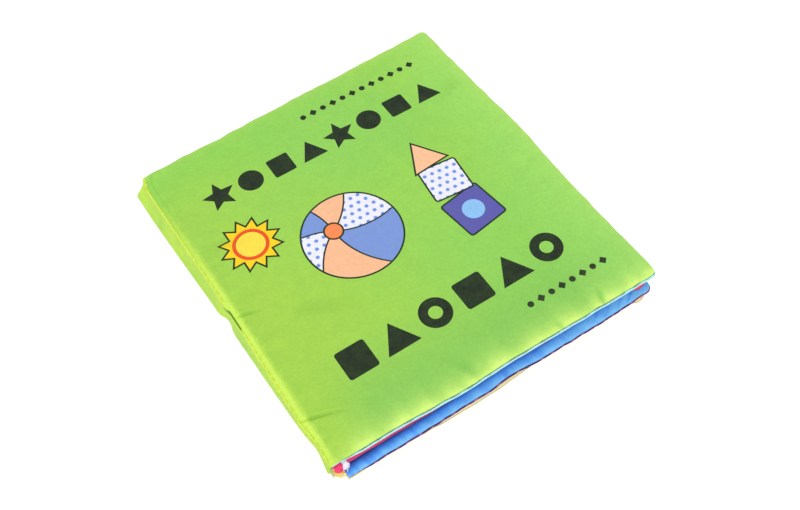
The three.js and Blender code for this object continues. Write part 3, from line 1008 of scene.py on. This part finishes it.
# The strip's outer and inner skin and its lining's, by how far they lie behind the outer skin
STRIP_SKINS = (0.0, 0.42 * MM)
LINING_SKINS = (0.55 * MM, 0.9 * MM)
# Small dents: place along Y, share of the way down, depth, half length and half height
DENTS = (
    (52, 0.55, 0.8, 1.4, 0.16),
    (63, 0.7, 0.5, 1.8, 0.2),
    (30, 0.5, 0.5, 1.8, 0.18),
    (-34, 0.5, 0.8, 2.0, 0.18),
    (-46, 0.62, 0.8, 1.6, 0.16),
    (-80, 0.4, 1.4, 1.8, 0.2),
    (4, 0.45, 0.7, 3.5, 0.22),
)
# The sharp fold beside the seam: places along Y in millimetres, and its share of the way down at each
FOLD_PLACES = (-12, -2, 0.8, 3, 6, 8.5)
FOLD_SHARES = (0.018, 0.022, 0.05, 0.13, 0.29, 0.38)


def fold_run(y):
    """One along the sharp fold beside the seam, zero past both its ends."""
    return smooth(y, -15 * MM, -10 * MM) * (1 - smooth(y, 5 * MM, 10 * MM))


def fold_path(y, down, width=1.0):
    """How near a point of the strip is to the sharp fold: a bell curve across it, one in the fold. The fold
    comes down from the seam at its tail end and runs out on the strip's side at its head end."""
    level = np.interp(y / MM, FOLD_PLACES, FOLD_SHARES)
    wide = width * (0.04 + 0.03 * smooth(y, -1 * MM, 4 * MM))
    return fold_run(y) * np.exp(-(((down - level) / wide) ** 2))


def strip_relief(y, down):
    """How far the strip stands out from its plain bulge: waves below the seam and waves on its side."""
    upper = waves(y, 91, (8.8 * MM, 12.5 * MM, 5.2 * MM)) * np.exp(-down / 0.16) * (1 - fold_run(y))
    lower = waves(y, 92, (13 * MM, 29 * MM)) * smooth(down, 0.1, 0.4) * smooth(1 - down, 0.0, 0.3)
    return 0.4 * MM * upper + 0.3 * MM * lower


def strip_tucks(y, down):
    """How far the cloth is drawn in: the sharp fold with a soft ridge below it, and bell-shaped dents."""
    tuck = 0.1 * MM * fold_path(y, down) - 0.3 * MM * fold_path(y, down - 0.14, 2.4)
    for place, level, depth, long, tall in DENTS:
        along = (y - place * MM) / (long * MM)
        tuck = tuck + depth * MM * np.exp(-(along ** 2) - ((down - level) / tall) ** 2)
    return tuck


def strip_points(y_share, down):
    """Points of the spine strip: share of the way from tail to head, and share of the way down from the
    front seam to the back seam. Both edges turn in under the covers' hems by quarter ellipses, and the
    foot stands out by the table. The book's waves lift it in proportion to its height."""
    lean = down ** 1.3
    tail_end = TOP_ENDS[0] + (FOOT_ENDS[0] - TOP_ENDS[0]) * lean
    head_end = TOP_ENDS[1] + (FOOT_ENDS[1] - TOP_ENDS[1]) * lean
    y = tail_end + (head_end - tail_end) * y_share
    turn = quarter(down, 0.1) * quarter(1 - down, 0.07)
    flare = smooth(down, 0.1, 0.9) ** (1 + 0.7 * smooth(y, 80 * MM, 100 * MM))
    reach = TOP_REACH + (eased(y, FOOT_PLACES, FOOT_DEPTHS) - TOP_REACH) * flare
    out = (reach + strip_relief(y, down) + TURN_IN - strip_tucks(y, down)) * turn - TURN_IN
    z = TOP_Z + (FOOT_Z - TOP_Z) * down
    z = z - 1.0 * MM * (1 - quarter(down, 0.05)) + 0.6 * MM * (1 - quarter(1 - down, 0.05))
    x = HINGE_X + seam_row(y) * (1 - smooth(down, 0.0, 0.6)) - out
    return x, y, z + stack_lift(x, y) * z / BOOK_HIGH


def strip_light_and_shade(y, down):
    """Painted light on the strip: painted highlights under its seam and on its tail end's side, painted shade
    in the sharp fold and in one dent, and more painted shade in the groove along the seam, in waves."""
    tone = np.clip(0.8 * np.exp(-down / 0.14) + 0.25 * waves(y, 95, (21 * MM, 34 * MM)), 0, 1)
    tone = np.clip(tone + 0.6 * smooth(down, 0.3, 0.8) * (1 - smooth(y, -70 * MM, -35 * MM)), 0, 1)
    tone = tone * (1 - fold_path(y, down)) - 0.95 * fold_path(y, down, 0.9)
    groove = np.exp(-(((down - 0.012) / 0.022) ** 2))
    tone = tone - (0.45 + 0.35 * waves(y, 96, (7 * MM, 15 * MM))) * groove
    tone = tone - 0.8 * np.exp(-(((y + 79.7 * MM) / (1.2 * MM)) ** 2) - ((down - 0.25) / 0.2) ** 2)
    return np.clip(tone, -1, 1)


def strip_cloth(name, node, material, share, down, depths, shade=None):
    """One cloth of the strip: its points moved in by two depths."""
    down_grid, share_grid = np.meshgrid(down, share)
    x, y, z = strip_points(share_grid, down_grid)
    skins = [np.stack([x + depth, y, z], -1)[:, ::-1] for depth in depths]
    # Painted highlight and shade for the strip's cloth
    tone = shade(y, down_grid)[:, ::-1] if shade else None
    piece = closed_sheet(name, *skins, material, tone, np.stack([z, y], -1)[:, ::-1])
    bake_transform(piece)
    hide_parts(node)


strip_cloth(
    "spine_outer_cloth", "spine_outer_fabric", spine_cloth, np.linspace(0, 1, 420),
    grid_lines(0.0, 1.0, 90, 0.7), STRIP_SKINS, strip_light_and_shade,
)
strip_cloth(
    "spine_lining_cloth", "spine_lining", spine_lining, np.linspace(0.004, 0.99, 160),
    np.linspace(0.1, 0.9, 36), LINING_SKINS,
)

# The folds of the page sheets behind the strip, as soft rolls whose ends show at the tail


def tube_quads(at, outward=1):
    """Faces of closed tubes, from their point numbers by tube, ring and side: the walls between rings,
    and a cap on each end that joins one half of the ring to the other. Minus one turns them over, and
    each wall still starts at the same corner."""
    following = np.roll(at, -1, 2)
    walls = np.stack([at[:, :-1], at[:, 1:], following[:, 1:], following[:, :-1]], -1)
    half = at.shape[2] // 2
    faces = [walls.reshape(-1, 4)[:, np.arange(4) * outward]]
    for ring, order in ((at[:, 0], outward), (at[:, -1], -outward)):
        a, b = ring[:, :half], ring[:, :half - 1:-1]
        cap = np.stack([a[:, :-1], a[:, 1:], b[:, 1:], b[:, :-1]], -1).reshape(-1, 4)
        faces.append(cap[:, ::order])
    return np.concatenate(faces)


def roll(name, centre, radii, ends, dome, material, seed):
    """A soft roll along Y: an oval section whose sine and cosine are raised to a power, with both ends
    rounded off by a quarter ellipse and a slow swell along it."""
    along = grid_lines(0.0, 1.0, 220, 0.75)
    turn = np.linspace(0, 2 * np.pi, 40, endpoint=False)
    turn_grid, along_grid = np.meshgrid(turn, along)
    y = ends[0] + (ends[1] - ends[0]) * along_grid
    full = quarter(np.minimum(y - ends[0], ends[1] - y) + 0.02 * MM, dome)
    swell = 1 + 0.06 * waves(y, seed, (13 * MM, 31 * MM))
    c, s = np.cos(turn_grid), np.sin(turn_grid)
    x = centre[0] + radii[0] * full * swell * np.sign(c) * np.abs(c) ** ROLL_POWER
    z = centre[1] + radii[1] * full * swell * np.sign(s) * np.abs(s) ** ROLL_POWER
    at = np.arange(y.size).reshape(1, *y.shape)
    return mesh_object(name, np.stack([x, y, z], -1).reshape(-1, 3), tube_quads(at), material)


# Under one, this power makes a roll's section squarer than an oval
ROLL_POWER = 0.8
# The height, in millimetres, where the outer fold's cloth changes from pink above to yellow below
FOLD_CHANGE = 11.6
# The two rolls, in millimetres: node, slot, finish and its shades, the section's middle from the hinge line
# and the ground, its half width and half height, how far it stands out past the cover at the tail, how far
# its ends are rounded, and a seed
FOLDS = (
    ("outer_sheet_fold", "pink_cloth", "outer_fold_cloth", PINKS, (2.7, 10.7), (2.3, 6.3), 0.2, 1.6, 61),
    ("inner_sheet_fold", "white_cloth", "inner_fold_cloth", WHITES, (5.9, 11.8), (2.3, 4.3), 0.7, 2.2, 62),
)


def two_tone(tree, colour, x, y, z):
    """Yellow below the height of change."""
    return paint(tree, colour, (z - FOLD_CHANGE).inside(0.6), linear("FFE24A"))


def add_folds():
    """The outer sheet's fold is pink above and yellow below. The inner sheet's white fold lies in it."""
    for node, slot, finish, shades, (x, z), radii, past, dome, seed in FOLDS:
        material = cloth_material(finish, shades, two_tone if slot == "pink_cloth" else None)
        ends = (COVER_LOW.y - past * MM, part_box(node)[1].y)
        radii = (radii[0] * MM, radii[1] * MM)
        piece = roll(node + "_cloth", (HINGE_X + x * MM, z * MM), radii, ends, dome * MM, material, seed)
        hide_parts(node)
        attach(piece, "spine")


add_folds()

# Threads

gold = plain_material("gold_thread", "CCD23A", 0.6, grain=0.3)
cream = plain_material("cream_thread", "FFE9A8", 0.7, grain=0.3)
STITCH_PITCH = 4.4 * MM
STITCH_LONG = 3.6 * MM
STITCH_RADIUS = 0.26 * MM
STITCH_ARCH = 0.16 * MM
BINDING_RADIUS = 0.22 * MM


def stitches(name, node, body, row, gap=(0, 0)):
    """A row of stitches: each is a short arched capsule, a ring of points carried along Y, whose radius
    goes with the root of one less the fourth power of the distance from its middle. None starts inside
    the gap, where a fold swallows them."""
    starts = np.arange(COVER_LOW.y + 3.4 * MM, COVER_HIGH.y - 4.6 * MM, STITCH_PITCH)
    starts = starts[(starts < gap[0] * MM) | (starts > gap[1] * MM)]
    share = np.linspace(0, 1, 9)
    turn = np.linspace(0, 2 * np.pi, 8, endpoint=False)
    start, share_grid, turn_grid = np.meshgrid(starts, share, turn, indexing="ij")
    y = start + STITCH_LONG * share_grid
    thick = STITCH_RADIUS * np.sqrt(np.clip(1 - (2 * share_grid - 1) ** 4, 0.02, 1))
    x_row, z_row = row(y)
    x = x_row + thick * np.cos(turn_grid)
    z = z_row + STITCH_ARCH * np.sin(np.pi * share_grid) + thick * np.sin(turn_grid)
    at = np.arange(y.size).reshape(y.shape)
    piece = mesh_object(name, np.stack([x, y, z], -1).reshape(-1, 3), tube_quads(at), gold)
    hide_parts(node)
    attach(piece, body)


def thread_points(path, radius, sides, steps):
    """A ring of points carried along a smooth curve through the given points, thinner at both ends: the
    curve is the mean of five shifted runs along straight lines between the points."""
    path = np.array(path) * MM
    knots = np.linspace(0, 1, len(path))
    share = np.linspace(0, 1, steps)
    centre = np.zeros((steps, 3))
    for shift in np.linspace(-0.08, 0.08, 5):
        centre = centre + np.stack([np.interp(share + shift, knots, path[:, k]) for k in range(3)], 1) / 5
    forward = np.gradient(centre, axis=0)
    forward = forward / np.linalg.norm(forward, axis=1)[:, None]
    aside = np.cross(forward, [0.2, 0.1, 1.0])
    aside = aside / np.linalg.norm(aside, axis=1)[:, None]
    raised = np.cross(forward, aside)
    turn = np.linspace(0, 2 * np.pi, sides, endpoint=False)
    thick = radius * quarter(np.minimum(share, 1 - share) + 0.004, 0.06)
    ring = np.cos(turn)[None, :, None] * aside[:, None] + np.sin(turn)[None, :, None] * raised[:, None]
    return centre[:, None] + thick[:, None, None] * ring


def threads(name, paths, radius, material, sides=8, steps=60):
    """Several threads as one piece."""
    points = np.stack([thread_points(path, radius, sides, steps) for path in paths])
    at = np.arange(points.size // 3).reshape(points.shape[:3])
    return mesh_object(name, points.reshape(-1, 3), tube_quads(at, -1), material)


def front_row(y):
    """The front seam's stitches keep to the strip's side of the hinge, so the cover turns clear of them."""
    x = HINGE_X + np.minimum(seam_row(y), 0) - 0.35 * MM
    return x, HIGH_SEAM + 0.38 * MM + stack_lift(x, y) * HIGH_SEAM / BOOK_HIGH


def back_row(y):
    """The back seam's stitches lie on the back cover's seam, low under the strip's foot."""
    return HINGE_X + 0.2 * MM + foot_row(y), 0.7 * MM + 0 * y


stitches("front_hinge_stitching", "front_hinge_stitches", "spine", front_row, (-13, 4))
stitches("back_hinge_stitching", "back_hinge_stitches", "back_cover", back_row)
# Three binding threads that cross at the tail end of the spine, in millimetres
BINDING_PATHS = (
    ((-91.8, -94.4, 13.2), (-91.2, -96.2, 11.6), (-90.2, -97.8, 11.0), (-88.6, -98.9, 11.2),
     (-87.0, -99.2, 12.0), (-86.2, -98.4, 13.4)),
    ((-91.6, -94.8, 9.0), (-90.6, -97.4, 9.4), (-89.2, -98.7, 9.2), (-87.6, -98.9, 8.4)),
    ((-91.0, -94.6, 4.4), (-90.2, -97.2, 5.6), (-89.0, -98.5, 7.0), (-88.0, -98.8, 8.6)),
)
binding = threads("binding_thread", BINDING_PATHS, BINDING_RADIUS, cream)
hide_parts("binding_stitches")
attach(binding, "spine")


# Stage: a pale floor and soft studio light

FLOOR_HALF = 3.0
FLOOR_SHADE = (0.86, 0.86, 0.87, 1)
FLOOR_GLOW = 0.42
# How bright the surroundings are at the horizon and overhead
HORIZON_LEVEL = 0.3
ZENITH_LEVEL = 0.77
# Two square lamps: name, place, side in metres and power in watts
LAMPS = (
    ("key", (-0.2, 1.4, 2.6), 1.45, 25.0),
    ("fill", (-0.88, -2.1, 2.1), 1.6, 49.0),
)


def add_stage():
    """A large pale floor that reads as white past the object's soft shadow: a weak glow, seen by the
    camera and in reflections but lighting nothing, lies over its shade."""
    mesh = bpy.data.meshes.new("floor")
    corners = [(x * FLOOR_HALF, y * FLOOR_HALF, 0) for x, y in ((-1, -1), (1, -1), (1, 1), (-1, 1))]
    mesh.from_pydata(corners, [], [(0, 1, 2, 3)])
    floor = bpy.data.objects.new("floor", mesh)
    bpy.context.scene.collection.objects.link(floor)
    material, tree, shader = new_material("floor")
    shader.inputs["Base Color"].default_value = FLOOR_SHADE
    shader.inputs["Roughness"].default_value = 0.9
    shader.inputs["Specular IOR Level"].default_value = 0.0
    glow = tree.nodes.new("ShaderNodeEmission")
    glow.inputs["Strength"].default_value = FLOOR_GLOW
    rays = tree.nodes.new("ShaderNodeLightPath")
    seen = Field(tree, rays.outputs["Is Camera Ray"]).most(Field(tree, rays.outputs["Is Glossy Ray"]))
    seen = seen.most(Field(tree, rays.outputs["Is Transmission Ray"]))
    nothing = tree.nodes.new("ShaderNodeEmission")
    nothing.inputs["Strength"].default_value = 0.0
    choose = tree.nodes.new("ShaderNodeMixShader")
    tree.links.new(seen.socket, choose.inputs[0])
    tree.links.new(nothing.outputs[0], choose.inputs[1])
    tree.links.new(glow.outputs[0], choose.inputs[2])
    total = tree.nodes.new("ShaderNodeAddShader")
    tree.links.new(shader.outputs[0], total.inputs[0])
    tree.links.new(choose.outputs[0], total.inputs[1])
    tree.links.new(total.outputs[0], tree.nodes["Material Output"].inputs["Surface"])
    mesh.materials.append(material)


def add_light(name, place, size, power):
    """A square soft lamp that looks at the middle of the book."""
    data = bpy.data.lights.new(name, "AREA")
    data.size = size
    data.energy = power
    lamp = bpy.data.objects.new(name, data)
    bpy.context.scene.collection.objects.link(lamp)
    lamp.location = place
    lamp.rotation_euler = (-Vector(place)).to_track_quat("-Z", "Y").to_euler()


def add_world():
    """Pale light from all round, brighter overhead than near the horizon. The camera sees it as white."""
    world = bpy.data.worlds.new("studio")
    bpy.context.scene.world = world
    world.use_nodes = True
    tree = world.node_tree
    background = tree.nodes["Background"]
    background.inputs["Color"].default_value = (1, 1, 1, 1)
    split = tree.nodes.new("ShaderNodeSeparateXYZ")
    tree.links.new(tree.nodes.new("ShaderNodeTexCoord").outputs["Generated"], split.inputs[0])
    height = Field(tree, split.outputs[2]).most(0.0)
    rays = tree.nodes.new("ShaderNodeLightPath")
    seen = Field(tree, rays.outputs["Is Camera Ray"]).most(Field(tree, rays.outputs["Is Transmission Ray"]))
    level = height * (ZENITH_LEVEL - HORIZON_LEVEL) + HORIZON_LEVEL
    level = level + seen * level.flipped(1.0)
    tree.links.new(level.socket, background.inputs["Strength"])


add_camera()
add_stage()
add_world()
for lamp_name, lamp_place, lamp_size, lamp_power in LAMPS:
    add_light(lamp_name, lamp_place, lamp_size, lamp_power)
bpy.context.scene.view_settings.view_transform = "Standard"
